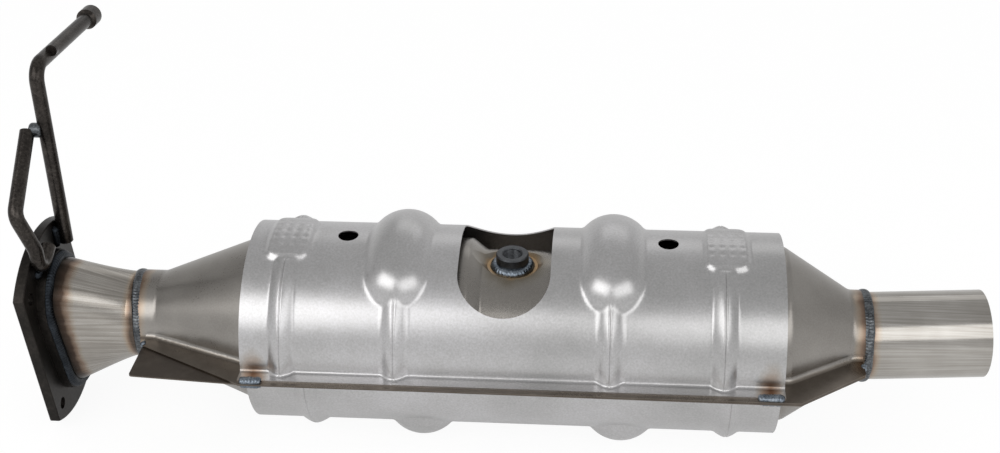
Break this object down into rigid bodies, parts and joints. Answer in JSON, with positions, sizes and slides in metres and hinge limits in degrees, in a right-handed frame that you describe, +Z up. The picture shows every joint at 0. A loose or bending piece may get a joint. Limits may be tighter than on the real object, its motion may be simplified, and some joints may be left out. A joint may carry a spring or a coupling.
{
  "type": "catalytic converter",
  "caption": "Catalytic converter: clamshell body on two honeycomb blocks, embossed heat shields, oval-to-round flanged inlet, plain outlet tube, sensor bung and hanger rod.",
  "frame": {"origin": "centre of the inlet flange's mating face", "axes": "+X runs with the gas from the inlet flange to the outlet tube, +Z up through the sensor bung, +Y away from the near side of the picture"},
  "size_m": [0.8359, 0.2778, 0.3392],
  "materials": {
    "hot_rolled_flange": "hot rolled, dark grey brown",
    "port_weld": "rippled weld bead, blue grey",
    "inlet_pipe_steel": "brushed lengthwise, bronze heat tint at both ends",
    "inlet_ring_weld": "rippled weld bead, blue grey",
    "upper_shell_steel": "brushed stainless, gold and brown heat tint at the welds",
    "lower_shell_steel": "brushed stainless",
    "aluminised_shield": "aluminised sheet, fine speckle",
    "aluminised_lower_shield": "aluminised sheet, fine speckle",
    "tack_weld": "rippled weld bead, blue grey",
    "seam_end_weld": "weld bead",
    "bung_steel": "turned steel, dark grey",
    "bung_weld": "rippled weld bead, blue grey",
    "outlet_pipe_steel": "polished stainless",
    "outlet_ring_weld": "rippled weld bead, brown edge",
    "hanger_steel": "drawn rod, dark grey brown",
    "brace_steel": "drawn rod, dark grey brown",
    "brace_weld": "weld bead",
    "foot_weld": "weld bead",
    "honeycomb": "washcoated honeycomb, square cells",
    "honeycomb_rear": "washcoated honeycomb, square cells",
    "fibre_mat": "intumescent fibre mat",
    "fibre_mat_rear": "intumescent fibre mat",
    "wire_mesh": "knitted wire mesh",
    "wire_mesh_rear": "knitted wire mesh"
  },
  "bodies": {
    "root": {"inlet_flange": "hot_rolled_flange", "inlet_flange_weld": "port_weld", "inlet_pipe": "inlet_pipe_steel", "inlet_pipe_weld": "inlet_ring_weld", "upper_shell": "upper_shell_steel", "lower_shell": "lower_shell_steel", "upper_heat_shield": "aluminised_shield", "lower_heat_shield": "aluminised_lower_shield", "shield_tack_welds": "tack_weld", "seam_end_welds": "seam_end_weld", "oxygen_sensor_bung": "bung_steel", "bung_weld": "bung_weld", "outlet_pipe": "outlet_pipe_steel", "outlet_pipe_weld": "outlet_ring_weld", "hanger_rod": "hanger_steel", "brace_rod": "brace_steel", "brace_weld": "brace_weld", "rod_flange_welds": "foot_weld", "front_monolith": "honeycomb", "rear_monolith": "honeycomb_rear", "front_mat": "fibre_mat", "rear_mat": "fibre_mat_rear", "front_seals": "wire_mesh", "rear_seals": "wire_mesh_rear"}
  },
  "joints": []
}
